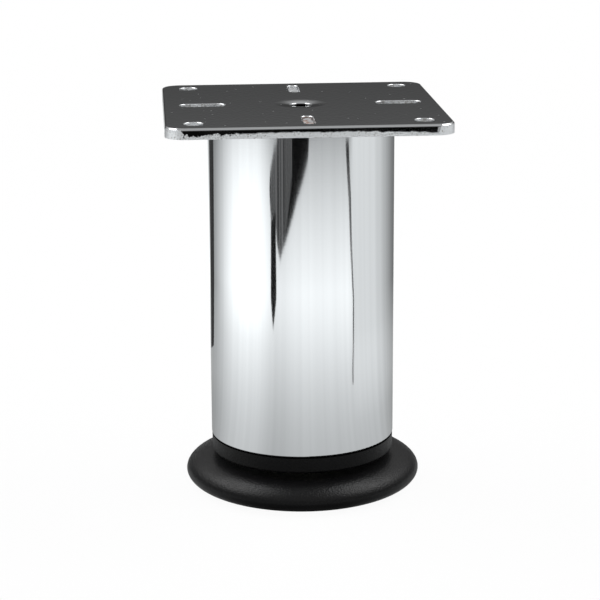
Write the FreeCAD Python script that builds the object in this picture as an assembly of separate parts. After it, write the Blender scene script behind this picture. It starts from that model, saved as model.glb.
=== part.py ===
import FreeCAD
import Part
import math
import os

# Adjustable cabinet leg: a chrome tube under a square screw plate, with a screw-out foot.
# Millimetres. The origin is on the floor under the tube's centre line, and +Z is up.

# Tube
TUBE_DIAMETER = 50.0
TUBE_WALL = 1.2
TUBE_LENGTH = 88.0
TUBE_END_ROUND = 0.4

# Mounting plate
PLATE_WIDTH = 73.0
PLATE_THICKNESS = 2.8
PLATE_CORNER_RADIUS = 5.0
PLATE_EDGE_ROLL = 0.6
PUNCHED_EDGE_ROLL = 0.25
SCREW_HOLE_DIAMETER = 5.0
SCREW_HOLE_MARGIN = 7.3
SLOT_MARGIN = 4.3
SLOT_LENGTH = 12.2
WIDE_SLOT_WIDTH = 4.8
NARROW_SLOT_WIDTH = 3.0

# Drawn hole in the middle of the plate
CENTRE_HOLE_DIAMETER = 5.6
CENTRE_DISH_DIAMETER = 14.0
CENTRE_DISH_CURVE = 26.0
CENTRE_HOLE_LEAD_IN = 0.5
CENTRE_COLLAR_WALL = 1.6
CENTRE_COLLAR_DEPTH = 1.6

# Foot
FOOT_DIAMETER = 64.2
FOOT_HEIGHT = 7.5
FOOT_UPPER_REACH = 7.6
FOOT_LOWER_REACH = 5.6
FOOT_LOWER_RISE = 3.4
FOOT_RING_WIDTH = 2.2
FOOT_DRAFT = 0.3
FOOT_TOP_WALL = 2.6
FOOT_HUB_WALL = 5.0
FOOT_RIB_COUNT = 8
FOOT_RIB_THICKNESS = 2.0
FOOT_RIB_RECESS = 0.6
FOOT_STUD_FLOOR = 2.0

# Plug in the tube's lower end
LIP_SETBACK = 0.1
LIP_HEIGHT = 4.4
LIP_ROUND = 0.4
SEAM_HEIGHT = 0.35
SEAM_DEPTH = 0.6
PLUG_FLOOR = 3.0
SPIGOT_LENGTH = 18.0
SPIGOT_WALL = 2.0
SPIGOT_LEAD_IN = 1.0
SPIGOT_SLACK = 0.5
CRUSH_RIB_COUNT = 12
CRUSH_RIB_RADIUS = 0.8
BOSS_WALL = 2.6
BOSS_ROOF = 3.0
WEB_COUNT = 6
WEB_THICKNESS = 2.0

# Nut and stud
STUD_DIAMETER = 10.0
STUD_TRAVEL = 20.0
STUD_END_MARGIN = 3.0
STUD_END_CHAMFER = 1.0
STUD_RELIEF_LENGTH = 2.0
STUD_RELIEF_DEPTH = 0.9
STUD_FLANGE_DIAMETER = 22.0
STUD_FLANGE_HEIGHT = 2.0
STUD_ROOT_DIAMETER = 12.0
NUT_ACROSS_FLATS = 17.0
NUT_HEIGHT = 8.0
NUT_RECESS = 1.0
NUT_BORE_CHAMFER = 0.7
NUT_CORNER_ANGLE = 30.0

# Clearances between the pieces
FOOT_STOP_GAP = 0.1
RUNNING_CLEARANCE = 0.05
PASSING_CLEARANCE = 0.5
NUT_POCKET_CLEARANCE = 0.05
CRUSH_RIB_CLEARANCE = 0.02

# Small lengths for making cuts and joining walls
CUT_THROUGH = 5.0
WALL_BITE = 0.5

# Radii and levels that follow from the sizes above
TUBE_RADIUS = TUBE_DIAMETER / 2
TUBE_BORE_RADIUS = TUBE_RADIUS - TUBE_WALL
FLANGE_TOP = FOOT_HEIGHT + STUD_FLANGE_HEIGHT
PLUG_BOTTOM = FLANGE_TOP + FOOT_STOP_GAP
TUBE_BOTTOM = PLUG_BOTTOM + LIP_HEIGHT
PLATE_BOTTOM = TUBE_BOTTOM + TUBE_LENGTH
PLATE_TOP = PLATE_BOTTOM + PLATE_THICKNESS
SCREW_HOLE_OFFSET = PLATE_WIDTH / 2 - SCREW_HOLE_MARGIN
SLOT_CENTRE_RADIUS = PLATE_WIDTH / 2 - SLOT_MARGIN - SLOT_LENGTH / 2
NUT_BOTTOM = PLUG_BOTTOM + NUT_RECESS
NUT_TOP = NUT_BOTTOM + NUT_HEIGHT
STUD_RADIUS = STUD_DIAMETER / 2
STUD_TOP = NUT_TOP + STUD_TRAVEL + STUD_END_MARGIN
HEX_CORNERS = 6
CORNERS_PER_FLATS = 1 / math.cos(math.pi / HEX_CORNERS)

ORIGIN = FreeCAD.Vector(0, 0, 0)
UP = FreeCAD.Vector(0, 0, 1)


def at(radius, height):
    """A point of a turned profile."""
    return FreeCAD.Vector(radius, 0, height)


def line(start, end):
    return Part.LineSegment(start, end).toShape()


def arc(centre, radius, start_angle, end_angle):
    """An arc of a turned profile, with angles in degrees from the outward direction."""
    points = []
    for angle in (start_angle, (start_angle + end_angle) / 2, end_angle):
        turn = math.radians(angle)
        points.append(centre + at(radius * math.cos(turn), radius * math.sin(turn)))
    return Part.Arc(*points).toShape()


def ellipse_quarter(start, corner, end):
    """A quarter of an ellipse, given its two ends and the corner that encloses it."""
    curve = Part.BezierCurve()
    curve.setPoles([start, corner, end])
    curve.setWeight(2, math.cos(math.pi / 4))
    return curve.toShape()


def turned(edges):
    """The solid that a closed profile sweeps about the centre line."""
    return Part.Face(Part.Wire(edges)).revolve(ORIGIN, UP, 360)


def turned_corners(corners):
    """A turned solid whose profile has straight sides, from (radius, height) pairs."""
    points = [at(radius, height) for radius, height in corners]
    return turned([line(start, end) for start, end in zip(points, points[1:] + points[:1])])


def cylinder(radius, bottom, top, x=0.0, y=0.0):
    return Part.makeCylinder(radius, top - bottom, FreeCAD.Vector(x, y, bottom), UP)


def hexagon(across_flats, bottom, top):
    """A six-sided bar on the centre line."""
    radius = across_flats / 2 * CORNERS_PER_FLATS
    corners = []
    for index in range(HEX_CORNERS + 1):
        angle = 2 * math.pi * index / HEX_CORNERS
        corners.append(FreeCAD.Vector(radius * math.cos(angle), radius * math.sin(angle), bottom))
    return Part.Face(Part.makePolygon(corners)).extrude(UP * (top - bottom))


def radial_wall(inner, outer, thickness, bottom, top, angle):
    """An upright wall that runs outwards at an angle about the centre line."""
    corner = FreeCAD.Vector(inner, -thickness / 2, bottom)
    wall = Part.makeBox(outer - inner, thickness, top - bottom, corner)
    return wall.rotate(ORIGIN, UP, angle)


def even_angles(count):
    return [360.0 * index / count for index in range(count)]


def top_face(shape):
    return max(shape.Faces, key=lambda face: face.CenterOfMass.z)


def slot_tool(length, width, angle):
    """A round-ended bar that cuts one slot of the plate, pointing outwards."""
    half_run = (length - width) / 2
    bottom = PLATE_BOTTOM - CUT_THROUGH
    top = PLATE_TOP + CUT_THROUGH
    bar = radial_wall(SLOT_CENTRE_RADIUS - half_run, SLOT_CENTRE_RADIUS + half_run, width, bottom, top, 0)
    for end in (-half_run, half_run):
        bar = bar.fuse(cylinder(width / 2, bottom, top, SLOT_CENTRE_RADIUS + end))
    return bar.removeSplitter().rotate(ORIGIN, UP, angle)


def plate_blank():
    """The square sheet with rounded corners."""
    half = PLATE_WIDTH / 2
    corner = FreeCAD.Vector(-half, -half, PLATE_BOTTOM)
    sheet = Part.makeBox(PLATE_WIDTH, PLATE_WIDTH, PLATE_THICKNESS, corner)
    upright_edges = [edge for edge in sheet.Edges if edge.BoundBox.ZLength > PLATE_THICKNESS / 2]
    return sheet.makeFillet(PLATE_CORNER_RADIUS, upright_edges)


def punched_openings():
    """The tools for the four screw holes and the four slots."""
    tools = []
    for x in (-SCREW_HOLE_OFFSET, SCREW_HOLE_OFFSET):
        for y in (-SCREW_HOLE_OFFSET, SCREW_HOLE_OFFSET):
            radius = SCREW_HOLE_DIAMETER / 2
            tools.append(cylinder(radius, PLATE_BOTTOM - CUT_THROUGH, PLATE_TOP + CUT_THROUGH, x, y))
    for angle in (0, 180):
        tools.append(slot_tool(SLOT_LENGTH, WIDE_SLOT_WIDTH, angle))
    for angle in (90, 270):
        tools.append(slot_tool(SLOT_LENGTH, NARROW_SLOT_WIDTH, angle))
    return tools


def drawn_hole_tool():
    """The space of the drawn hole: a shallow dish that curls down into a straight bore."""
    hole_radius = CENTRE_HOLE_DIAMETER / 2
    dish_radius = CENTRE_DISH_DIAMETER / 2
    curl = CENTRE_DISH_CURVE - CENTRE_HOLE_LEAD_IN
    slope = math.degrees(math.asin((dish_radius - hole_radius - CENTRE_HOLE_LEAD_IN) / curl))
    dish_centre = at(dish_radius, PLATE_TOP - CENTRE_DISH_CURVE)
    dish = arc(dish_centre, CENTRE_DISH_CURVE, 90, 90 + slope)
    dish_end = dish.Vertexes[1].Point
    lead_angle = math.radians(90 + slope)
    lead_offset = at(math.cos(lead_angle), math.sin(lead_angle)) * CENTRE_HOLE_LEAD_IN
    lead_in = arc(dish_end - lead_offset, CENTRE_HOLE_LEAD_IN, 90 + slope, 180)
    bore_top = lead_in.Vertexes[1].Point
    tool_bottom = PLATE_BOTTOM - CENTRE_COLLAR_DEPTH - CUT_THROUGH
    return turned([
        dish,
        lead_in,
        line(bore_top, at(hole_radius, tool_bottom)),
        line(at(hole_radius, tool_bottom), at(0, tool_bottom)),
        line(at(0, tool_bottom), at(0, PLATE_TOP)),
        line(at(0, PLATE_TOP), at(dish_radius, PLATE_TOP)),
    ])


def mounting_plate():
    """Stamped plate: punched from above, so every top edge is slightly rolled over."""
    collar_radius = CENTRE_HOLE_DIAMETER / 2 + CENTRE_COLLAR_WALL
    collar = cylinder(collar_radius, PLATE_BOTTOM - CENTRE_COLLAR_DEPTH, PLATE_TOP)
    plate = plate_blank().fuse(collar).cut(punched_openings()).removeSplitter()
    face = top_face(plate)
    punched_edges = []
    for wire in face.Wires:
        if not wire.isSame(face.OuterWire):
            punched_edges.extend(wire.Edges)
    plate = plate.makeFillet(PUNCHED_EDGE_ROLL, punched_edges)
    plate = plate.makeFillet(PLATE_EDGE_ROLL, top_face(plate).OuterWire.Edges)
    return plate.cut(drawn_hole_tool())


def leg_tube():
    """Plain tube with its lower outside edge rounded over."""
    rim_centre = at(TUBE_RADIUS - TUBE_END_ROUND, TUBE_BOTTOM + TUBE_END_ROUND)
    rim = arc(rim_centre, TUBE_END_ROUND, 270, 360)
    return turned([
        line(at(TUBE_BORE_RADIUS, TUBE_BOTTOM), rim.Vertexes[0].Point),
        rim,
        line(rim.Vertexes[1].Point, at(TUBE_RADIUS, PLATE_BOTTOM)),
        line(at(TUBE_RADIUS, PLATE_BOTTOM), at(TUBE_BORE_RADIUS, PLATE_BOTTOM)),
        line(at(TUBE_BORE_RADIUS, PLATE_BOTTOM), at(TUBE_BORE_RADIUS, TUBE_BOTTOM)),
    ])


def plug_cup(spigot_radius, spigot_top):
    """The plug's lip, floor and round spigot, as one cup, with a shadow seam between the lip and the tube."""
    lip_radius = TUBE_RADIUS - LIP_SETBACK
    seam_radius = lip_radius - SEAM_DEPTH
    seam_bottom = TUBE_BOTTOM - SEAM_HEIGHT
    floor_top = PLUG_BOTTOM + PLUG_FLOOR
    cup = turned_corners([
        (0, PLUG_BOTTOM),
        (lip_radius, PLUG_BOTTOM),
        (lip_radius, seam_bottom),
        (seam_radius, seam_bottom),
        (seam_radius, TUBE_BOTTOM),
        (spigot_radius, TUBE_BOTTOM),
        (spigot_radius, spigot_top - SPIGOT_LEAD_IN),
        (spigot_radius - SPIGOT_LEAD_IN, spigot_top),
        (spigot_radius - SPIGOT_WALL, spigot_top),
        (spigot_radius - SPIGOT_WALL, floor_top),
        (0, floor_top),
    ])
    lower_rim = [edge for edge in cup.Edges if edge.BoundBox.ZMax < PLUG_BOTTOM + LIP_ROUND]
    return cup.makeFillet(LIP_ROUND, lower_rim)


def tube_plug():
    """Moulded plug: ribs grip the tube's bore, and a webbed boss holds the nut."""
    spigot_radius = TUBE_BORE_RADIUS - SPIGOT_SLACK
    spigot_top = TUBE_BOTTOM + SPIGOT_LENGTH
    boss_radius = NUT_ACROSS_FLATS / 2 * CORNERS_PER_FLATS + NUT_POCKET_CLEARANCE + BOSS_WALL
    boss_top = NUT_TOP + BOSS_ROOF
    plug = plug_cup(spigot_radius, spigot_top)
    additions = [cylinder(boss_radius, PLUG_BOTTOM + PLUG_FLOOR / 2, boss_top)]
    web_outer = spigot_radius - SPIGOT_WALL + WALL_BITE
    for angle in even_angles(WEB_COUNT):
        web_inner = boss_radius - WALL_BITE
        web_bottom = PLUG_BOTTOM + PLUG_FLOOR / 2
        additions.append(radial_wall(web_inner, web_outer, WEB_THICKNESS, web_bottom, boss_top, angle))
    rib_offset = TUBE_BORE_RADIUS - CRUSH_RIB_CLEARANCE - CRUSH_RIB_RADIUS
    for angle in even_angles(CRUSH_RIB_COUNT):
        rib = cylinder(CRUSH_RIB_RADIUS, TUBE_BOTTOM, spigot_top - SPIGOT_LEAD_IN, rib_offset)
        additions.append(rib.rotate(ORIGIN, UP, angle))
    plug = plug.fuse(additions).removeSplitter()
    pocket = hexagon(NUT_ACROSS_FLATS + 2 * NUT_POCKET_CLEARANCE, PLUG_BOTTOM - CUT_THROUGH, NUT_TOP)
    passage = cylinder(STUD_RADIUS + PASSING_CLEARANCE, NUT_BOTTOM, boss_top + CUT_THROUGH)
    return plug.cut([pocket, passage])


def captive_nut():
    """Hexagon nut with its corners turned off at both ends."""
    flat_radius = NUT_ACROSS_FLATS / 2
    corner_radius = flat_radius * CORNERS_PER_FLATS
    corner_drop = (corner_radius - flat_radius) * math.tan(math.radians(NUT_CORNER_ANGLE))
    turned_corner = turned_corners([
        (0, NUT_BOTTOM),
        (flat_radius, NUT_BOTTOM),
        (corner_radius, NUT_BOTTOM + corner_drop),
        (corner_radius, NUT_TOP - corner_drop),
        (flat_radius, NUT_TOP),
        (0, NUT_TOP),
    ])
    bore_radius = STUD_RADIUS + RUNNING_CLEARANCE
    bore = turned_corners([
        (0, NUT_BOTTOM),
        (bore_radius + NUT_BORE_CHAMFER, NUT_BOTTOM),
        (bore_radius, NUT_BOTTOM + NUT_BORE_CHAMFER),
        (bore_radius, NUT_TOP - NUT_BORE_CHAMFER),
        (bore_radius + NUT_BORE_CHAMFER, NUT_TOP),
        (0, NUT_TOP),
    ])
    return hexagon(NUT_ACROSS_FLATS, NUT_BOTTOM, NUT_TOP).common(turned_corner).cut(bore)


def foot_stud():
    """Turned stud: its root sits in the foot, its flange on the foot, and its shank screws into the nut."""
    root_radius = STUD_ROOT_DIAMETER / 2
    flange_radius = STUD_FLANGE_DIAMETER / 2
    relief_radius = STUD_RADIUS - STUD_RELIEF_DEPTH
    return turned_corners([
        (0, FOOT_STUD_FLOOR),
        (root_radius, FOOT_STUD_FLOOR),
        (root_radius, FOOT_HEIGHT),
        (flange_radius, FOOT_HEIGHT),
        (flange_radius, FLANGE_TOP),
        (relief_radius, FLANGE_TOP),
        (relief_radius, FLANGE_TOP + STUD_RELIEF_LENGTH),
        (STUD_RADIUS, FLANGE_TOP + STUD_RELIEF_LENGTH + STUD_RELIEF_DEPTH),
        (STUD_RADIUS, STUD_TOP - STUD_END_CHAMFER),
        (STUD_RADIUS - STUD_END_CHAMFER, STUD_TOP),
        (0, STUD_TOP),
    ])


def foot_outside():
    """The foot's solid outer form: a flat base and top with a rim of two flattened rounds."""
    radius = FOOT_DIAMETER / 2
    base_end = at(radius - FOOT_LOWER_REACH, 0)
    widest = at(radius, FOOT_LOWER_RISE)
    top_end = at(radius - FOOT_UPPER_REACH, FOOT_HEIGHT)
    return turned([
        line(at(0, 0), base_end),
        ellipse_quarter(base_end, at(radius, 0), widest),
        ellipse_quarter(widest, at(radius, FOOT_HEIGHT), top_end),
        line(top_end, at(0, FOOT_HEIGHT)),
        line(at(0, FOOT_HEIGHT), at(0, 0)),
    ])


def foot_base():
    """Moulded foot: hollow and ribbed underneath, with a hub that holds the stud."""
    hub_radius = STUD_ROOT_DIAMETER / 2 + FOOT_HUB_WALL
    pocket_radius = FOOT_DIAMETER / 2 - FOOT_LOWER_REACH - FOOT_RING_WIDTH
    pocket_top = FOOT_HEIGHT - FOOT_TOP_WALL
    wall_top = pocket_top + WALL_BITE
    pocket = turned_corners([
        (0, -CUT_THROUGH),
        (pocket_radius, -CUT_THROUGH),
        (pocket_radius, 0),
        (pocket_radius - FOOT_DRAFT, pocket_top),
        (0, pocket_top),
    ])
    hub = turned_corners([
        (0, FOOT_RIB_RECESS),
        (hub_radius, FOOT_RIB_RECESS),
        (hub_radius + FOOT_DRAFT, wall_top),
        (0, wall_top),
    ])
    additions = [hub]
    for angle in even_angles(FOOT_RIB_COUNT):
        rib_inner = hub_radius - WALL_BITE
        rib_outer = pocket_radius + WALL_BITE
        rib = radial_wall(rib_inner, rib_outer, FOOT_RIB_THICKNESS, FOOT_RIB_RECESS, wall_top, angle)
        additions.append(rib)
    seat_radius = STUD_ROOT_DIAMETER / 2 + RUNNING_CLEARANCE
    seat = cylinder(seat_radius, FOOT_STUD_FLOOR, FOOT_HEIGHT + CUT_THROUGH)
    return foot_outside().cut(pocket).fuse(additions).removeSplitter().cut(seat)


PIECES = {
    "mounting_plate": mounting_plate,
    "leg_tube": leg_tube,
    "tube_plug": tube_plug,
    "captive_nut": captive_nut,
    "foot_stud": foot_stud,
    "foot_base": foot_base,
}

os.makedirs("parts", exist_ok=True)
for name, make_piece in PIECES.items():
    piece = make_piece()
    piece.exportStep(f"parts/{name}.step")
    box = piece.BoundBox
    print(name, len(piece.Solids), piece.isValid(), f"{piece.Volume:.1f}", f"{box.ZMin:.2f} {box.ZMax:.2f}")
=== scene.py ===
"""The looks of the adjustable cabinet leg: chrome, black plastic and zinc on a white studio table."""
import math

import bpy
from mathutils import Matrix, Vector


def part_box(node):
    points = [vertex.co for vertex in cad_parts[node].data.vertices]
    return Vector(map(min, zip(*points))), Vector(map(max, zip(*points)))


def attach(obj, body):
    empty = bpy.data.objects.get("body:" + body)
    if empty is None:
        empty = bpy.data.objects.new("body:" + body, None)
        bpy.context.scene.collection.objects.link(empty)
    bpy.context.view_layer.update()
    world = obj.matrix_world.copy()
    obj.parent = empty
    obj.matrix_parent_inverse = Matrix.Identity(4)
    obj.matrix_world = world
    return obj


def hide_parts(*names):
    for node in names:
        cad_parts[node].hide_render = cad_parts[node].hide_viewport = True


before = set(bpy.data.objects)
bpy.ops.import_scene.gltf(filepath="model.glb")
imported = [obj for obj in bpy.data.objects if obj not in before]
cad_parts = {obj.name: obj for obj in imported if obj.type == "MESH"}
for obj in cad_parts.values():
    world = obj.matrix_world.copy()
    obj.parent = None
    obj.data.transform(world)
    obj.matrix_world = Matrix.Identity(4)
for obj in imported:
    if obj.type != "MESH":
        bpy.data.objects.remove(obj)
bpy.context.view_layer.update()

# Places from the frame are in metres, and sizes written here are in millimetres and degrees
MM = 0.001
QUARTER_TURN = 90.0
STUD_LOW, STUD_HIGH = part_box("foot_stud")
PLATE_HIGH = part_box("mounting_plate")[1]
PLATE_HALF_WIDTH = PLATE_HIGH.x
PLATE_TOP = PLATE_HIGH.z
PLATE_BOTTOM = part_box("leg_tube")[1].z
FOOT_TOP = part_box("foot_base")[1].z

# The stud, with a coarse 10 mm thread
SHANK_DIAMETER = 10.0
ROOT_DIAMETER = 12.0
FLANGE_HEIGHT = 2.0
RELIEF_LENGTH = 2.0
RELIEF_DEPTH = 0.9
END_CHAMFER = 1.0
THREAD_PITCH = 1.5
THREAD_DEPTH = 0.92
THREAD_CREST_SHARE = 0.125
THREAD_ROOT_SHARE = 0.25
THREAD_ROWS_PER_PITCH = 16
ROUND_STEPS = 96
SHARP_ANGLE = 30.0

# Weld beads in the plate's narrow slots
BEAD_WIDTH = 2.9
BEAD_LENGTH = 11.2
BEAD_HEIGHT = 1.5
BEAD_DEPTH = 0.95
BEAD_RADIUS = 26.1
BEAD_END_POWER = 0.5
BEAD_RIPPLES = 4
BEAD_RIPPLE_SHARE = 0.08
BEAD_RINGS = 32
BEAD_STEPS = 24

# Colours
CHROME_COLOUR = "#D8DADC"
FRACTURE_COLOUR = "#EAECEE"
PUNCHED_SHADE = "#A6A39F"
HEAT_TINT = "#C79C88"
# Painted shade for the inside of the drawn hole
HOLE_SHADE_COLOUR = "#161514"
FOOT_COLOUR = "#111112"
# The plug's colour is darker than the foot's: painted shade on its collar under the tube
PLUG_SHADED_COLOUR = "#0D0D0E"
ZINC_COLOUR = "#C9C7BC"
FLOOR_COLOUR = "#F4F4F4"
# The colour of the table's painted glow, which only the chrome mirrors
TABLE_GLOW_TINT = "#FDFFFF"
WHITE = "#FFFFFF"

# The sRGB curve, of 255 steps: a straight piece near black, then a power
SRGB_STEPS = 255
SRGB_STRAIGHT_END = 0.04045
SRGB_STRAIGHT_SLOPE = 12.92
SRGB_OFFSET = 0.055
SRGB_POWER = 2.4

# Noise patterns: their mean, the span that holds most of their values, and how many finer layers they have
NOISE_MEAN = 0.5
NOISE_LOW = 0.3
NOISE_HIGH = 0.7
PLAIN_DETAIL = 1.0
FINE_DETAIL = 2.0
CLOUD_DETAIL = 3.0
TORN_DETAIL = 4.0
TORN_DETAIL_SHARE = 0.7

# The tube's polish. Real polishing lines are finer, and these are drawn coarser so that they show
POLISH_LINE_LENGTH = 14.0
POLISH_LINE_WIDTH = 0.5
POLISH_LINE_DEPTH = 0.004
POLISH_LINE_STRENGTH = 0.2
TUBE_ROUGHNESS = 0.055

# Which way the plate's surface faces, by the upright part of its direction: a cut wall or the flat top
CUT_WALL_START = 0.5
CUT_WALL_END = 0.3
FLAT_TOP_START = 0.97
FLAT_TOP_END = 0.99

# The plate's outer edge tears below a share of its thickness, a smaller one towards the edge's ends
EDGE_BAND = 2.0
EDGE_MIDDLE = 14.0
EDGE_END = 30.0
MIDDLE_TEAR_SHARE = 0.49
END_TEAR_SHARE = 0.3
CORNER_START = 31.9
CORNER_END = 32.9
TEAR_SIZE = 1.6
TEAR_SOFTNESS = 0.04
MOST_RAGGED = 1.6
LEAST_RAGGED = 0.45
RAGGED_X = -30.0
CALM_X = -16.0

# The plate's plating, with its peel and its specks, and the depth below which the drawn hole's wall gets
# painted shade
PLATE_ROUGHNESS = 0.025
TORN_ROUGHNESS = 0.45
PEEL_SIZE = 0.85
PEEL_SHARE = 0.2
SPECK_SPACING = 2.6
SPECK_RIM = 0.15
SPECK_CORE = 0.1
SPECK_PICK = 0.74
SPECK_DULLNESS = 0.6
DRAWN_HOLE_REACH = 8.0
HOLE_SHADE_DEPTH = 0.42
HOLE_SHADE_FADE = 0.15

# The grit of torn and punched steel is finer than this, and is drawn coarser so that it shows
GRIT_SIZE = 0.35
PLATE_RELIEF_DEPTH = 0.16
PLATE_RELIEF_STRENGTH = 0.6
PATCH_START = 0.48
PATCH_END = 0.64
FLECK_START = 0.6
FLECK_END = 0.68

# Moulded plastic. Its real grain is about 0.1 mm wide, and is drawn coarser so that it shows
GRAIN_SIZE = 0.45
GRAIN_DEPTH = 0.12
MOTTLE_SIZE = 3.0
PLASTIC_SMOOTHEST = 0.3
PLASTIC_ROUGHEST = 0.38
PLASTIC_IOR = 1.49
FOOT_SHEEN = 0.25
# The plug's sheen is weaker than the foot's: painted shade on its collar under the tube
PLUG_SHADED_SHEEN = 0.14

# Zinc on turned steel
ZINC_CLOUD_SIZE = 2.0
ZINC_SMOOTHEST = 0.24
ZINC_ROUGHEST = 0.38
TURNING_MARK_WIDTH = 0.25
TURNING_MARK_DEPTH = 0.02
TURNING_MARK_STRENGTH = 0.2

# Weld metal
WELD_LUMP_SIZE = 1.4
WELD_LUMP_DEPTH = 0.35
WELD_ROUGHNESS = 0.36
TINT_START = 0.48
TINT_END = 0.6

# The camera stands in front of the leg, which is turned a little on the table
LEG_TURN = 4.085
CAMERA_SIDE = -2.33
CAMERA_DISTANCE = 526.9
CAMERA_HEIGHT = 188.9
CAMERA_PITCH = 14.69
CAMERA_PAN = 0.206
CAMERA_ROLL = -0.304
CAMERA_LENS = 119.8

# The studio, in a frame that is turned with the camera: +X to its right and +Y away from it
STUDIO = Matrix.Rotation(math.radians(-LEG_TURN), 4, "Z")
FLOOR_RADIUS = 6000.0
FLOOR_STEPS = 128
FLOOR_LEVEL = -0.05

# The leg's shadow on the white floor is a veil, which thins out with the distance from the leg
VEIL = 0.05
VEIL_FADE_START = 250.0
VEIL_FADE_END = 900.0

# The painted light and shade of the table that the chrome mirrors, in distances from the leg, angles from the
# camera's side, and levels.
# Close round the foot
CONTACT_START = 28.0
CONTACT_END = 62.0
CONTACT_FRONT_ANGLE = 12.0
CONTACT_SIDE_ANGLE = 65.0
CONTACT_FRONT_LEVEL = 0.04
CONTACT_SIDE_LEVEL = 0.6

# The bright ring, and the table far from the leg
RING_START = 40.0
RING_END = 260.0
RING_START_LEVEL = 0.65
RING_END_LEVEL = 1.35
FAR_START = 255.0
FAR_END = 700.0
FAR_END_LEVEL = 0.24

# The left lamp's side
LEFT_START_ANGLE = -22.0
LEFT_END_ANGLE = -56.0
LEFT_START = 180.0
LEFT_END = 570.0
LEFT_START_EXTRA = 0.15
LEFT_END_EXTRA = 0.92

# Beside the black strip
STRIP_ANGLE = -30.0
STRIP_SHADE_ANGLE = 28.0
STRIP_SHADE_LEVEL = 0.87

# Beyond the dark line on the right
RIGHT_START_ANGLE = 60.0
RIGHT_END_ANGLE = 65.0
RIGHT_START = 90.0
RIGHT_END = 190.0
RIGHT_LEVEL = 0.97

# The dark sides, and the lighter table behind the leg
SIDE_MIDDLE_ANGLE = 8.0
SIDE_START_ANGLE = 80.0
SIDE_DARKEST_ANGLE = 152.0
SIDE_START = 120.0
SIDE_END = 240.0
SIDE_START_LEVEL = 0.47
SIDE_END_LEVEL = 0.2
REAR_ANGLE = 175.0
REAR_LEVEL = 0.8

# Streaks of painted light and shade in the glow of the table and the cards: how many in a turn, and the
# lowest and highest factor
TABLE_STREAKS = (50, 0.97, 1.03)
CARD_STREAKS = (150, 0.2, 1.8)

# Flat cards on the table that only the chrome mirrors, with their outlines and their height above the table.
# Each goes from its near brightness to its far one between two distances from the leg
# The cards glow as painted reflections of darker places round the table
CARD_NEAR = 120.0
CARD_FAR = 560.0
CARDS = {
    "grey_card": dict(near_brightness=0.1, far_brightness=0.12, height=0.4, outline=[
        (-130, -275), (-160, -290), (-200, -330), (-230, -310), (-275, -350), (-295, -390), (-295, -465),
        (-275, -505), (-300, -640), (-120, -640), (-90, -475), (-120, -300)]),
    "black_card": dict(near_brightness=0.004, far_brightness=0.004, height=0.4, outline=[
        (-120, -300), (-80, -365), (-35, -425), (75, -520), (95, -570), (105, -640), (-120, -640),
        (-90, -475)]),
    "black_strip": dict(near_brightness=0.01, far_brightness=0.02, height=0.6, outline=[
        (-110, -165), (-145, -195), (-225, -305), (-200, -340), (-135, -235), (-120, -210)]),
    "front_card": dict(near_brightness=0.004, far_brightness=0.004, height=0.3, outline=[
        (-330, -595), (330, -595), (420, -1200), (-420, -1200)]),
    "right_line": dict(near_brightness=0.45, far_brightness=0.01, height=0.5, outline=[
        (110, -66), (210, -107), (355, -220), (465, -335), (490, -300), (370, -200), (210, -100),
        (113, -61)]),
    "rear_card": dict(near_brightness=0.05, far_brightness=0.05, height=0.4, outline=[
        (-60, 125), (-330, 590), (-505, 475), (-100, 110)]),
}

# The room that the chrome mirrors: a dim horizon, a pale band above it and a little less light overhead
HORIZON_ANGLE = 5.0
HORIZON_LEVEL = 0.05
BAND_ANGLE = 34.0
BAND_LEVEL = 0.6
OVERHEAD_START_ANGLE = 38.0
OVERHEAD_END_ANGLE = 50.0
OVERHEAD_SHARE = 0.75
UNDERSIDE_LEVEL = 0.5

# Soft boxes: azimuth from the camera's side, and power in watts
SOFT_BOXES = {"left_box": (-110.0, 6.7), "right_box": (106.0, 6.5)}
SOFT_BOX_ELEVATION = 53.0
SOFT_BOX_DISTANCE = 1200.0
SOFT_BOX_WIDTH = 1000.0
SOFT_BOX_HEIGHT = 550.0
SOFT_BOX_AIM_HEIGHT = 50.0


def linear(hex_colour):
    """An sRGB hex colour as linear red, green, blue and alpha."""
    channels = []
    for level in bytes.fromhex(hex_colour[1:]):
        share = level / SRGB_STEPS
        if share <= SRGB_STRAIGHT_END:
            channels.append(share / SRGB_STRAIGHT_SLOPE)
        else:
            channels.append(((share + SRGB_OFFSET) / (1 + SRGB_OFFSET)) ** SRGB_POWER)
    return channels + [1.0]


def per_metre(size):
    """The scale of a pattern whose features have this size in millimetres."""
    return 1 / (size * MM)


def add_node(tree, kind, inputs=None, **settings):
    """Adds a shader node with its options. An input is a value, a socket, or a node for its first output."""
    node = tree.nodes.new("ShaderNode" + kind)
    for name, value in settings.items():
        setattr(node, name, value)
    for socket, value in (inputs or {}).items():
        source = value.outputs[0] if isinstance(value, bpy.types.Node) else value
        if isinstance(source, bpy.types.NodeSocket):
            tree.links.new(source, node.inputs[socket])
        else:
            node.inputs[socket].default_value = source
    return node


def start_material(name):
    """A new material with an empty node tree."""
    material = bpy.data.materials.new(name)
    material.use_nodes = True
    material.node_tree.nodes.clear()
    return material


def chrome_plated_tube():
    """Chrome over drawn and polished steel: a clear mirror that faint polishing lines roughen."""
    material = start_material("chrome_plated_drawn_steel")
    tree = material.node_tree
    place = add_node(tree, "TexCoord").outputs["Object"]
    along_line = per_metre(POLISH_LINE_LENGTH)
    stretched = add_node(tree, "Mapping", {
        "Vector": place, "Scale": (along_line, along_line, per_metre(POLISH_LINE_WIDTH))})
    lines = add_node(tree, "TexNoise", {"Vector": stretched, "Scale": 1.0, "Detail": FINE_DETAIL})
    bump = add_node(tree, "Bump", {
        "Height": lines, "Strength": POLISH_LINE_STRENGTH, "Distance": POLISH_LINE_DEPTH * MM})
    shader = add_node(tree, "BsdfPrincipled", {
        "Base Color": linear(CHROME_COLOUR), "Metallic": 1.0, "Roughness": TUBE_ROUGHNESS, "Normal": bump})
    add_node(tree, "OutputMaterial", {"Surface": shader})
    return material


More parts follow.
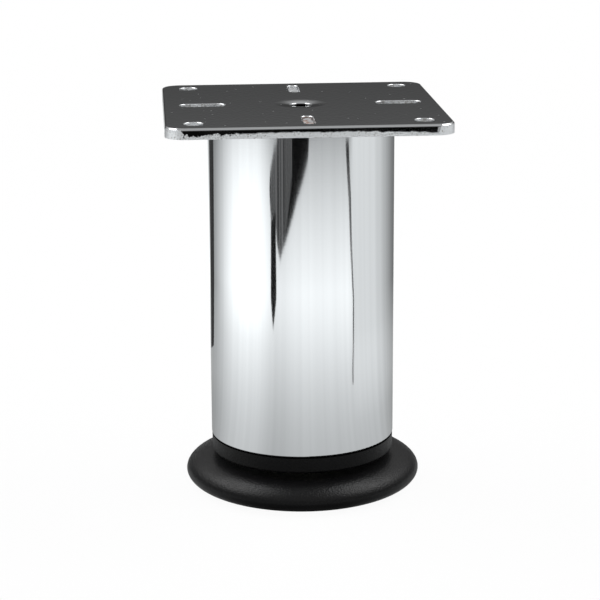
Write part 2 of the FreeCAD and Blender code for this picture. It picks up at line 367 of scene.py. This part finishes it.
def torn_edge(tree, spot, from_middle, coarse):
    """How torn the plate's outer edge is: smooth above a ragged line, torn below it and at the corners."""
    share = add_node(tree, "MapRange", {
        "Value": from_middle, "From Min": EDGE_MIDDLE * MM, "From Max": EDGE_END * MM,
        "To Min": MIDDLE_TEAR_SHARE, "To Max": END_TEAR_SHARE})
    corner = add_node(tree, "MapRange", {
        "Value": from_middle, "From Min": CORNER_START * MM, "From Max": CORNER_END * MM})
    torn_share = add_node(tree, "Math", {0: share, 1: corner}, operation="ADD")

    # The line is most ragged at the left end
    swing = add_node(tree, "MapRange", {
        "Value": spot.outputs["X"], "From Min": RAGGED_X * MM, "From Max": CALM_X * MM,
        "To Min": MOST_RAGGED, "To Max": LEAST_RAGGED})
    centred = add_node(tree, "Math", {0: coarse, 1: NOISE_MEAN}, operation="SUBTRACT")
    ragged = add_node(tree, "Math", {0: centred, 1: swing}, operation="MULTIPLY")
    tear_line = add_node(tree, "Math", {0: ragged, 1: torn_share}, operation="ADD")
    level = add_node(tree, "MapRange", {
        "Value": spot.outputs["Z"], "From Min": PLATE_BOTTOM, "From Max": PLATE_TOP})
    below = add_node(tree, "Math", {0: tear_line, 1: level}, operation="SUBTRACT")
    return add_node(tree, "MapRange", {
        "Value": below, "From Min": -TEAR_SOFTNESS, "From Max": TEAR_SOFTNESS})


def dust_specks(tree, place, flat_top):
    """Dull round specks of dust under the plating of the plate's flat top."""
    cells = add_node(tree, "TexVoronoi", {"Vector": place, "Scale": per_metre(SPECK_SPACING)})
    round_speck = add_node(tree, "MapRange", {
        "Value": cells.outputs["Distance"], "From Min": SPECK_RIM, "From Max": SPECK_CORE,
        "To Max": SPECK_DULLNESS})
    pick = add_node(tree, "SeparateColor", {"Color": cells.outputs["Color"]})
    chosen = add_node(tree, "Math", {0: pick.outputs["Red"], 1: SPECK_PICK}, operation="GREATER_THAN")
    specks = add_node(tree, "Math", {0: round_speck, 1: chosen}, operation="MULTIPLY")
    return add_node(tree, "Math", {0: specks, 1: flat_top}, operation="MULTIPLY")


def plate_relief(tree, place, flat_top, rough_wall, grit):
    """A faint peel in the plating of the plate's flat top, and grit on its rough walls."""
    waves = add_node(tree, "TexNoise", {
        "Vector": place, "Scale": per_metre(PEEL_SIZE), "Detail": PLAIN_DETAIL})
    peel = add_node(tree, "MapRange", {"Value": waves, "To Max": PEEL_SHARE})
    flat_peel = add_node(tree, "Math", {0: peel, 1: flat_top}, operation="MULTIPLY")
    relief = add_node(tree, "MapRange", {"Value": rough_wall, "To Min": flat_peel, "To Max": grit})
    return add_node(tree, "Bump", {
        "Height": relief, "Strength": PLATE_RELIEF_STRENGTH, "Distance": PLATE_RELIEF_DEPTH * MM})


def plate_colour(tree, spot, reach, outer_edge, rough_wall, coarse, grit):
    """Chrome, with patches and flecks on the rough walls, and painted shade down the drawn hole's wall."""
    patches = add_node(tree, "MapRange", {"Value": coarse, "From Min": PATCH_START, "From Max": PATCH_END})
    flecks = add_node(tree, "MapRange", {"Value": grit, "From Min": FLECK_START, "From Max": FLECK_END})
    stain = add_node(tree, "MapRange", {"Value": outer_edge, "To Min": patches, "To Max": flecks})
    fracture = add_node(tree, "MixRGB", {
        "Fac": stain, "Color1": linear(FRACTURE_COLOUR), "Color2": linear(PUNCHED_SHADE)})
    plated = add_node(tree, "MixRGB", {
        "Fac": rough_wall, "Color1": linear(CHROME_COLOUR), "Color2": fracture})

    # Painted shade: below a depth the drawn hole's wall is painted nearly black, as the shade inside the hole
    sunk = add_node(tree, "MapRange", {
        "Value": spot.outputs["Z"], "From Min": PLATE_TOP - HOLE_SHADE_DEPTH * MM,
        "From Max": PLATE_TOP - (HOLE_SHADE_DEPTH + HOLE_SHADE_FADE) * MM})
    drawn = add_node(tree, "Math", {0: reach, 1: DRAWN_HOLE_REACH * MM}, operation="LESS_THAN")
    hole_shade = add_node(tree, "Math", {0: sunk, 1: drawn}, operation="MULTIPLY")
    return add_node(tree, "MixRGB", {"Fac": hole_shade, "Color1": plated, "Color2": linear(HOLE_SHADE_COLOUR)})


def chrome_plated_plate():
    """Chrome over stamped sheet: a specked mirror, whose cut edges are burnished above and torn below."""
    material = start_material("chrome_plated_stamped_steel")
    tree = material.node_tree
    coordinates = add_node(tree, "TexCoord")
    place = coordinates.outputs["Object"]
    spot = add_node(tree, "SeparateXYZ", {"Vector": place})
    across = add_node(tree, "Math", {0: spot.outputs["X"]}, operation="ABSOLUTE")
    along = add_node(tree, "Math", {0: spot.outputs["Y"]}, operation="ABSOLUTE")
    from_middle = add_node(tree, "Math", {0: across, 1: along}, operation="MINIMUM")
    reach = add_node(tree, "Math", {0: across, 1: along}, operation="MAXIMUM")
    facing = add_node(tree, "SeparateXYZ", {"Vector": coordinates.outputs["Normal"]}).outputs["Z"]
    upright = add_node(tree, "Math", {0: facing}, operation="ABSOLUTE")
    cut_wall = add_node(tree, "MapRange", {
        "Value": upright, "From Min": CUT_WALL_START, "From Max": CUT_WALL_END})
    flat_top = add_node(tree, "MapRange", {
        "Value": facing, "From Min": FLAT_TOP_START, "From Max": FLAT_TOP_END})
    coarse = add_node(tree, "TexNoise", {
        "Vector": place, "Scale": per_metre(TEAR_SIZE), "Detail": TORN_DETAIL,
        "Roughness": TORN_DETAIL_SHARE})
    grit = add_node(tree, "TexNoise", {
        "Vector": place, "Scale": per_metre(GRIT_SIZE), "Detail": FINE_DETAIL})

    # The walls of the punched holes are dull all the way down, and the drawn hole's wall is smooth
    edge_start = PLATE_HALF_WIDTH - EDGE_BAND * MM
    outer_edge = add_node(tree, "Math", {0: reach, 1: edge_start}, operation="GREATER_THAN")
    punched = add_node(tree, "Math", {0: reach, 1: DRAWN_HOLE_REACH * MM}, operation="GREATER_THAN")
    torn = torn_edge(tree, spot, from_middle, coarse)
    dull = add_node(tree, "MapRange", {"Value": outer_edge, "To Min": punched, "To Max": torn})
    rough_wall = add_node(tree, "Math", {0: dull, 1: cut_wall}, operation="MULTIPLY")

    specks = dust_specks(tree, place, flat_top)
    not_bright = add_node(tree, "Math", {0: rough_wall, 1: specks}, operation="MAXIMUM")
    roughness = add_node(tree, "MapRange", {
        "Value": not_bright, "To Min": PLATE_ROUGHNESS, "To Max": TORN_ROUGHNESS})
    shader = add_node(tree, "BsdfPrincipled", {
        "Base Color": plate_colour(tree, spot, reach, outer_edge, rough_wall, coarse, grit),
        "Metallic": 1.0, "Roughness": roughness,
        "Normal": plate_relief(tree, place, flat_top, rough_wall, grit)})
    add_node(tree, "OutputMaterial", {"Surface": shader})
    return material


def moulded_black_plastic(name, colour, sheen):
    """Polypropylene moulded in a lightly grained tool: nearly black, with a soft, slightly mottled sheen."""
    material = start_material(name)
    tree = material.node_tree
    place = add_node(tree, "TexCoord").outputs["Object"]
    grain = add_node(tree, "TexNoise", {
        "Vector": place, "Scale": per_metre(GRAIN_SIZE), "Detail": FINE_DETAIL})
    mottle = add_node(tree, "TexNoise", {
        "Vector": place, "Scale": per_metre(MOTTLE_SIZE), "Detail": FINE_DETAIL})
    roughness = add_node(tree, "MapRange", {
        "Value": mottle, "From Min": NOISE_LOW, "From Max": NOISE_HIGH,
        "To Min": PLASTIC_SMOOTHEST, "To Max": PLASTIC_ROUGHEST})
    bump = add_node(tree, "Bump", {"Height": grain, "Strength": 1.0, "Distance": GRAIN_DEPTH * MM})
    shader = add_node(tree, "BsdfPrincipled", {
        "Base Color": linear(colour), "Roughness": roughness, "IOR": PLASTIC_IOR,
        "Specular IOR Level": sheen, "Normal": bump})
    add_node(tree, "OutputMaterial", {"Surface": shader})
    return material


def zinc_plated_steel():
    """Bright zinc over turned steel: a soft grey shine with fine turning marks."""
    material = start_material("zinc_plated_turned_steel")
    tree = material.node_tree
    place = add_node(tree, "TexCoord").outputs["Object"]
    clouds = add_node(tree, "TexNoise", {
        "Vector": place, "Scale": per_metre(ZINC_CLOUD_SIZE), "Detail": CLOUD_DETAIL})
    roughness = add_node(tree, "MapRange", {
        "Value": clouds, "From Min": NOISE_LOW, "From Max": NOISE_HIGH,
        "To Min": ZINC_SMOOTHEST, "To Max": ZINC_ROUGHEST})
    stretched = add_node(tree, "Mapping", {
        "Vector": place, "Scale": (1.0, 1.0, per_metre(TURNING_MARK_WIDTH))})
    marks = add_node(tree, "TexNoise", {"Vector": stretched, "Scale": 1.0, "Detail": PLAIN_DETAIL})
    bump = add_node(tree, "Bump", {
        "Height": marks, "Strength": TURNING_MARK_STRENGTH, "Distance": TURNING_MARK_DEPTH * MM})
    shader = add_node(tree, "BsdfPrincipled", {
        "Base Color": linear(ZINC_COLOUR), "Metallic": 1.0, "Roughness": roughness, "Normal": bump})
    add_node(tree, "OutputMaterial", {"Surface": shader})
    return material


def plated_weld():
    """Weld metal under thin plating: lumpy and bright, with patches of brown heat tint on the front bead."""
    material = start_material("plated_weld_metal")
    tree = material.node_tree
    place = add_node(tree, "TexCoord").outputs["Object"]
    patches = add_node(tree, "TexNoise", {
        "Vector": place, "Scale": per_metre(WELD_LUMP_SIZE), "Detail": FINE_DETAIL})
    patchy = add_node(tree, "MapRange", {"Value": patches, "From Min": TINT_START, "From Max": TINT_END})
    spot = add_node(tree, "SeparateXYZ", {"Vector": place})
    front = add_node(tree, "Math", {0: spot.outputs["Y"], 1: 0.0}, operation="LESS_THAN")
    tinted = add_node(tree, "Math", {0: patchy, 1: front}, operation="MULTIPLY")
    colour = add_node(tree, "MixRGB", {
        "Fac": tinted, "Color1": linear(FRACTURE_COLOUR), "Color2": linear(HEAT_TINT)})
    lumps = add_node(tree, "TexNoise", {
        "Vector": place, "Scale": per_metre(WELD_LUMP_SIZE), "Detail": PLAIN_DETAIL})
    bump = add_node(tree, "Bump", {"Height": lumps, "Strength": 1.0, "Distance": WELD_LUMP_DEPTH * MM})
    shader = add_node(tree, "BsdfPrincipled", {
        "Base Color": colour, "Metallic": 1.0, "Roughness": WELD_ROUGHNESS, "Normal": bump})
    add_node(tree, "OutputMaterial", {"Surface": shader})
    return material


def new_object(name, vertices, faces):
    """A mesh object in the scene, from points in metres."""
    mesh = bpy.data.meshes.new(name)
    mesh.from_pydata(vertices, [], faces)
    thing = bpy.data.objects.new(name, mesh)
    bpy.context.scene.collection.objects.link(thing)
    return thing


def thread_radius(height, turn):
    """The screw's radius at a height and a share of a turn: flat crests and roots with straight flanks."""
    phase = (height / THREAD_PITCH - turn) % 1.0
    from_crest = min(phase, 1.0 - phase)
    crest_end = THREAD_CREST_SHARE / 2
    root_start = (1.0 - THREAD_ROOT_SHARE) / 2
    sunk = min(1.0, max(0.0, (from_crest - crest_end) / (root_start - crest_end)))
    return SHANK_DIAMETER / 2 - THREAD_DEPTH * sunk


def stud_rings():
    """The stud from root to tip as rings: each is a height and a function that gives the radius at a turn."""
    bottom = STUD_LOW.z / MM
    top = STUD_HIGH.z / MM
    flange_bottom = FOOT_TOP / MM
    flange_top = flange_bottom + FLANGE_HEIGHT
    flange_radius = STUD_HIGH.x / MM
    shank_radius = SHANK_DIAMETER / 2
    relief_radius = shank_radius - RELIEF_DEPTH
    corners = [
        (bottom, ROOT_DIAMETER / 2),
        (flange_bottom, ROOT_DIAMETER / 2),
        (flange_bottom, flange_radius),
        (flange_top, flange_radius),
        (flange_top, relief_radius),
        (flange_top + RELIEF_LENGTH, relief_radius),
    ]
    rings = [(height, lambda turn, radius=radius: radius) for height, radius in corners]
    start = flange_top + RELIEF_LENGTH
    steps = round((top - start) / THREAD_PITCH * THREAD_ROWS_PER_PITCH)
    for step in range(1, steps + 1):
        height = start + (top - start) * step / steps
        run_out = relief_radius + height - start
        tip_cone = shank_radius - END_CHAMFER + top - height
        limit = min(run_out, tip_cone)
        rings.append((
            height,
            lambda turn, height=height, limit=limit: min(thread_radius(height, turn), limit)))
    return rings


def threaded_stud():
    """The foot's stud with its screw cut as a right-hand helix."""
    rings = stud_rings()
    vertices = []
    for height, radius_at in rings:
        for step in range(ROUND_STEPS):
            turn = step / ROUND_STEPS
            angle = 2 * math.pi * turn
            radius = radius_at(turn)
            vertices.append((radius * math.cos(angle) * MM, radius * math.sin(angle) * MM, height * MM))
    faces = [tuple(range(ROUND_STEPS - 1, -1, -1))]
    for ring in range(len(rings) - 1):
        low = ring * ROUND_STEPS
        high = low + ROUND_STEPS
        for step in range(ROUND_STEPS):
            following = (step + 1) % ROUND_STEPS
            faces.append((low + step, low + following, high + following, high + step))
    last = (len(rings) - 1) * ROUND_STEPS
    faces.append(tuple(range(last, last + ROUND_STEPS)))
    stud = new_object("threaded_stud", vertices, faces)
    stud.data.shade_smooth()
    stud.data.set_sharp_from_angle(angle=math.radians(SHARP_ANGLE))
    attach(stud, "stud")
    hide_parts("foot_stud")
    return stud


def weld_bead(name, side):
    """The rippled bead that joins the tube to the plate, seen in a narrow slot at the front or the back."""
    middle = side * BEAD_RADIUS
    height = PLATE_TOP / MM - BEAD_DEPTH
    points = [(0.0, middle - BEAD_LENGTH / 2, height)]
    for ring in range(1, BEAD_RINGS):
        share = ring / BEAD_RINGS
        ripple = 1 + BEAD_RIPPLE_SHARE * math.cos(2 * math.pi * BEAD_RIPPLES * share)
        swell = math.sin(math.pi * share) ** BEAD_END_POWER * ripple
        y = middle - BEAD_LENGTH / 2 * math.cos(math.pi * share)
        for step in range(BEAD_STEPS):
            angle = 2 * math.pi * step / BEAD_STEPS
            x = BEAD_WIDTH / 2 * swell * math.cos(angle) / (1 + BEAD_RIPPLE_SHARE)
            z = BEAD_HEIGHT / 2 * swell * math.sin(angle)
            points.append((x, y, height + z))
    points.append((0.0, middle + BEAD_LENGTH / 2, height))
    last = len(points) - 1
    last_ring = last - BEAD_STEPS
    faces = []
    for step in range(BEAD_STEPS):
        following = (step + 1) % BEAD_STEPS
        faces.append((0, 1 + step, 1 + following))
        for low in range(1, last_ring, BEAD_STEPS):
            high = low + BEAD_STEPS
            faces.append((low + step, high + step, high + following, low + following))
        faces.append((last_ring + step, last, last_ring + following))
    bead = new_object(name, [(x * MM, y * MM, z * MM) for x, y, z in points], faces)
    bead.data.shade_smooth()
    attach(bead, "leg")
    return bead


def streaks(tree, azimuth, per_turn, low, high):
    """Soft streaks of painted light and shade that run away from the leg, as a factor between two levels."""
    scale = per_turn / (2 * math.pi)
    noise = add_node(
        tree, "TexNoise", {"W": azimuth, "Scale": scale, "Detail": PLAIN_DETAIL}, noise_dimensions="1D")
    return add_node(tree, "MapRange", {
        "Value": noise, "From Min": NOISE_LOW, "From Max": NOISE_HIGH, "To Min": low, "To Max": high})


def azimuth_from_leg(tree, place):
    """The angle about the leg, from the camera's side towards its right."""
    spot = add_node(tree, "SeparateXYZ", {"Vector": place})
    nearer = add_node(tree, "Math", {0: spot.outputs["Y"], 1: -1.0}, operation="MULTIPLY")
    return add_node(tree, "Math", {0: spot.outputs["X"], 1: nearer}, operation="ARCTAN2")


def distance_from_leg(tree, place):
    """The distance from the middle of the foot's underside."""
    return add_node(tree, "VectorMath", {0: place}, operation="LENGTH").outputs["Value"]


def contact_shade(tree, from_leg, azimuth):
    """The shade close round the foot, deepest in front."""
    round_from_front = add_node(tree, "Math", {0: azimuth}, operation="ABSOLUTE")
    at_foot = add_node(tree, "MapRange", {
        "Value": round_from_front,
        "From Min": math.radians(CONTACT_FRONT_ANGLE), "From Max": math.radians(CONTACT_SIDE_ANGLE),
        "To Min": CONTACT_FRONT_LEVEL, "To Max": CONTACT_SIDE_LEVEL}, interpolation_type="SMOOTHSTEP")
    return add_node(tree, "MapRange", {
        "Value": from_leg, "From Min": CONTACT_START * MM, "From Max": CONTACT_END * MM,
        "To Min": at_foot}, interpolation_type="SMOOTHSTEP")


def bright_ring(tree, from_leg):
    """The light by distance: it grows away from the leg, and falls off again far from it."""
    near = add_node(tree, "MapRange", {
        "Value": from_leg, "From Min": RING_START * MM, "From Max": RING_END * MM,
        "To Min": RING_START_LEVEL, "To Max": RING_END_LEVEL}, interpolation_type="SMOOTHSTEP")
    far = add_node(tree, "MapRange", {
        "Value": from_leg, "From Min": FAR_START * MM, "From Max": FAR_END * MM,
        "To Min": 1.0, "To Max": FAR_END_LEVEL})
    return add_node(tree, "Math", {0: near, 1: far}, operation="MULTIPLY")


def left_boost(tree, from_leg, azimuth):
    """The left lamp's side is brighter, and the more so the farther from the leg."""
    to_the_left = add_node(tree, "MapRange", {
        "Value": azimuth, "From Min": math.radians(LEFT_START_ANGLE),
        "From Max": math.radians(LEFT_END_ANGLE)}, interpolation_type="SMOOTHSTEP")
    outward = add_node(tree, "MapRange", {
        "Value": from_leg, "From Min": LEFT_START * MM, "From Max": LEFT_END * MM,
        "To Min": LEFT_START_EXTRA, "To Max": LEFT_END_EXTRA})
    extra = add_node(tree, "Math", {0: to_the_left, 1: outward}, operation="MULTIPLY")
    return add_node(tree, "Math", {0: extra, 1: 1.0}, operation="ADD")


def strip_shade(tree, azimuth):
    """The black strip shades the table beside it."""
    from_strip = add_node(tree, "Math", {0: azimuth, 1: math.radians(STRIP_ANGLE)}, operation="SUBTRACT")
    beside_strip = add_node(tree, "Math", {0: from_strip}, operation="ABSOLUTE")
    return add_node(tree, "MapRange", {
        "Value": beside_strip, "From Max": math.radians(STRIP_SHADE_ANGLE),
        "To Min": STRIP_SHADE_LEVEL}, interpolation_type="SMOOTHSTEP")


def right_side(tree, from_leg, azimuth):
    """Where the table lies beyond the dark line on the right."""
    to_the_right = add_node(tree, "MapRange", {
        "Value": azimuth, "From Min": math.radians(RIGHT_START_ANGLE),
        "From Max": math.radians(RIGHT_END_ANGLE)})
    beyond = add_node(tree, "MapRange", {
        "Value": from_leg, "From Min": RIGHT_START * MM, "From Max": RIGHT_END * MM})
    return add_node(tree, "Math", {0: to_the_right, 1: beyond}, operation="MULTIPLY")


def side_shade(tree, from_leg, azimuth):
    """The table falls dark towards the sides and is lighter again behind the leg."""
    turned = add_node(tree, "Math", {0: azimuth, 1: math.radians(SIDE_MIDDLE_ANGLE)}, operation="SUBTRACT")
    sideways = add_node(tree, "Math", {0: turned}, operation="ABSOLUTE")
    darkest = add_node(tree, "MapRange", {
        "Value": from_leg, "From Min": SIDE_START * MM, "From Max": SIDE_END * MM,
        "To Min": SIDE_START_LEVEL, "To Max": SIDE_END_LEVEL})
    falling = add_node(tree, "MapRange", {
        "Value": sideways,
        "From Min": math.radians(SIDE_START_ANGLE), "From Max": math.radians(SIDE_DARKEST_ANGLE),
        "To Min": 1.0, "To Max": darkest}, interpolation_type="SMOOTHSTEP")
    rising = add_node(tree, "MapRange", {
        "Value": sideways,
        "From Min": math.radians(SIDE_DARKEST_ANGLE), "From Max": math.radians(REAR_ANGLE),
        "To Max": REAR_LEVEL}, interpolation_type="SMOOTHSTEP")
    return add_node(tree, "Math", {0: falling, 1: rising}, operation="MAXIMUM")


def pool_of_light(tree):
    """The brightness of the table that the chrome mirrors: a ring, brighter on the left, dim at the sides."""
    place = add_node(tree, "TexCoord").outputs["Object"]
    azimuth = azimuth_from_leg(tree, place)
    from_leg = distance_from_leg(tree, place)
    level = bright_ring(tree, from_leg)
    for factor in (left_boost(tree, from_leg, azimuth), strip_shade(tree, azimuth)):
        level = add_node(tree, "Math", {0: level, 1: factor}, operation="MULTIPLY")

    # To the right of the dark line the table is even
    level = add_node(tree, "MapRange", {
        "Value": right_side(tree, from_leg, azimuth), "To Min": level, "To Max": RIGHT_LEVEL})
    all_round = (
        side_shade(tree, from_leg, azimuth),
        contact_shade(tree, from_leg, azimuth),
        streaks(tree, azimuth, *TABLE_STREAKS),
    )
    for factor in all_round:
        level = add_node(tree, "Math", {0: level, 1: factor}, operation="MULTIPLY")
    return level


def white_table_top():
    """The table: white to the camera, with the leg's shadow as a veil, and to the chrome a pool of light."""
    material = start_material("white_table_top")
    material.cycles.emission_sampling = "NONE"
    tree = material.node_tree
    to_camera = add_node(tree, "LightPath").outputs["Is Camera Ray"]
    from_below = add_node(tree, "NewGeometry").outputs["Backfacing"]
    place = add_node(tree, "TexCoord").outputs["Object"]
    from_leg = distance_from_leg(tree, place)
    shadowed = add_node(tree, "MapRange", {
        "Value": from_leg, "From Min": VEIL_FADE_START * MM, "From Max": VEIL_FADE_END * MM,
        "To Min": VEIL, "To Max": 0.0}, interpolation_type="SMOOTHSTEP")
    veil = add_node(tree, "MapRange", {"Value": from_below, "To Min": shadowed, "To Max": 0.0})
    clear = add_node(tree, "BsdfTransparent")
    matt = add_node(tree, "BsdfDiffuse", {"Color": linear(FLOOR_COLOUR)})
    seen = add_node(tree, "MixShader", {0: veil, 1: clear, 2: matt})
    # To the chrome the table glows: a painted pool of light, with painted shade round the foot and painted
    # streaks
    mirrored = add_node(tree, "Emission", {"Color": linear(TABLE_GLOW_TINT), "Strength": pool_of_light(tree)})
    surface = add_node(tree, "MixShader", {0: to_camera, 1: mirrored, 2: seen})
    add_node(tree, "OutputMaterial", {"Surface": surface})
    return material


def set_stage(thing):
    """Attaches a part of the studio to the stud's body, so that it keeps its place under the foot when that
    is screwed out.
    """
    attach(thing, "stud")


def floor():
    """A wide round table top just under the foot. Diffuse light passes it and lights the underside."""
    rim = []
    for step in range(FLOOR_STEPS):
        angle = 2 * math.pi * step / FLOOR_STEPS
        x = FLOOR_RADIUS * math.cos(angle)
        y = FLOOR_RADIUS * math.sin(angle)
        rim.append((x * MM, y * MM, FLOOR_LEVEL * MM))
    table = new_object("floor", rim, [tuple(range(FLOOR_STEPS))])
    table.matrix_world = STUDIO
    table.visible_diffuse = False
    table.visible_shadow = False
    table.data.materials.append(white_table_top())
    set_stage(table)


def streaked_card(name, near_brightness, far_brightness):
    """The glow of a card: plain grey or black, with streaks that run away from the leg."""
    material = start_material(name)
    material.cycles.emission_sampling = "NONE"
    tree = material.node_tree
    place = add_node(tree, "TexCoord").outputs["Object"]
    brightness = add_node(tree, "MapRange", {
        "Value": distance_from_leg(tree, place), "From Min": CARD_NEAR * MM, "From Max": CARD_FAR * MM,
        "To Min": near_brightness, "To Max": far_brightness})
    streak = streaks(tree, azimuth_from_leg(tree, place), *CARD_STREAKS)
    streaked = add_node(tree, "Math", {0: brightness, 1: streak}, operation="MULTIPLY")
    glow = add_node(tree, "Emission", {"Color": linear(WHITE), "Strength": streaked})
    add_node(tree, "OutputMaterial", {"Surface": glow})
    return material


def card(name, near_brightness, far_brightness, height, outline):
    """One flat studio card."""
    points = [(x * MM, y * MM, height * MM) for x, y in outline]
    flat = new_object(name, points, [tuple(range(len(points)))])
    flat.matrix_world = STUDIO
    flat.visible_camera = False
    flat.visible_diffuse = False
    flat.visible_transmission = False
    flat.visible_shadow = False
    flat.data.materials.append(streaked_card(name, near_brightness, far_brightness))
    set_stage(flat)


def studio_room():
    """The room: white to the camera, with a pale band above a dim horizon, and the table's light below."""
    world = bpy.data.worlds.new("studio_room")
    world.use_nodes = True
    tree = world.node_tree
    tree.nodes.clear()
    direction = add_node(tree, "TexCoord").outputs["Generated"]
    rise = add_node(tree, "SeparateXYZ", {"Vector": direction}).outputs["Z"]
    band = add_node(tree, "MapRange", {
        "Value": rise, "From Min": math.sin(math.radians(HORIZON_ANGLE)),
        "From Max": math.sin(math.radians(BAND_ANGLE)),
        "To Min": HORIZON_LEVEL, "To Max": BAND_LEVEL}, interpolation_type="SMOOTHSTEP")
    overhead = add_node(tree, "MapRange", {
        "Value": rise, "From Min": math.sin(math.radians(OVERHEAD_START_ANGLE)),
        "From Max": math.sin(math.radians(OVERHEAD_END_ANGLE)),
        "To Min": 1.0, "To Max": OVERHEAD_SHARE}, interpolation_type="SMOOTHSTEP")
    sky = add_node(tree, "Math", {0: band, 1: overhead}, operation="MULTIPLY")
    below = add_node(tree, "Math", {0: rise, 1: 0.0}, operation="LESS_THAN")
    room = add_node(tree, "MapRange", {"Value": below, "To Min": sky, "To Max": UNDERSIDE_LEVEL})
    to_camera = add_node(tree, "LightPath").outputs["Is Camera Ray"]
    strength = add_node(tree, "MapRange", {"Value": to_camera, "To Min": room, "To Max": 1.0})
    backdrop = add_node(tree, "Background", {"Color": linear(WHITE), "Strength": strength})
    add_node(tree, "OutputWorld", {"Surface": backdrop})
    bpy.context.scene.world = world


def soft_box(name, azimuth, power):
    """A wide soft box that faces the leg."""
    light = bpy.data.lights.new(name, "AREA")
    light.shape = "RECTANGLE"
    light.size = SOFT_BOX_WIDTH * MM
    light.size_y = SOFT_BOX_HEIGHT * MM
    light.energy = power
    lamp = bpy.data.objects.new(name, light)
    aim = Matrix.Translation((0.0, 0.0, SOFT_BOX_AIM_HEIGHT * MM))
    turn = Matrix.Rotation(math.radians(azimuth), 4, "Z")
    tilt = Matrix.Rotation(math.radians(QUARTER_TURN - SOFT_BOX_ELEVATION), 4, "X")
    away = Matrix.Translation((0.0, 0.0, SOFT_BOX_DISTANCE * MM))
    lamp.matrix_world = STUDIO @ aim @ turn @ tilt @ away
    bpy.context.scene.collection.objects.link(lamp)


def camera():
    """The camera, looking a little down on the leg."""
    lens = bpy.data.cameras.new("camera")
    lens.lens = CAMERA_LENS
    lens.clip_end = 2 * FLOOR_RADIUS * MM
    eye = bpy.data.objects.new("camera", lens)
    stand = Matrix.Translation((CAMERA_SIDE * MM, -CAMERA_DISTANCE * MM, CAMERA_HEIGHT * MM))
    pan = Matrix.Rotation(math.radians(-CAMERA_PAN), 4, "Z")
    pitch = Matrix.Rotation(math.radians(QUARTER_TURN - CAMERA_PITCH), 4, "X")
    roll = Matrix.Rotation(math.radians(CAMERA_ROLL), 4, "Z")
    eye.matrix_world = STUDIO @ stand @ pan @ pitch @ roll
    bpy.context.scene.collection.objects.link(eye)
    bpy.context.scene.camera = eye


def finish_nodes():
    """Gives each piece of the leg its finish, and adds the stud with its thread and the welds."""
    zinc = zinc_plated_steel()
    finishes = {
        "mounting_plate": chrome_plated_plate(),
        "leg_tube": chrome_plated_tube(),
        # The plug is a darker, duller copy of the foot's plastic, as painted shade on its collar
        "tube_plug": moulded_black_plastic("moulded_black_plug", PLUG_SHADED_COLOUR, PLUG_SHADED_SHEEN),
        "foot_base": moulded_black_plastic("moulded_black_foot", FOOT_COLOUR, FOOT_SHEEN),
        "captive_nut": zinc,
    }
    for node, material in finishes.items():
        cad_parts[node].material_slots[0].material = material
    threaded_stud().data.materials.append(zinc)
    weld = plated_weld()
    for bead_name, side in (("front_weld", -1), ("back_weld", 1)):
        weld_bead(bead_name, side).data.materials.append(weld)


finish_nodes()
floor()
for card_name, card_setting in CARDS.items():
    card(card_name, **card_setting)
studio_room()
for box_name, box_setting in SOFT_BOXES.items():
    soft_box(box_name, *box_setting)
camera()
bpy.context.scene.view_settings.view_transform = "Standard"
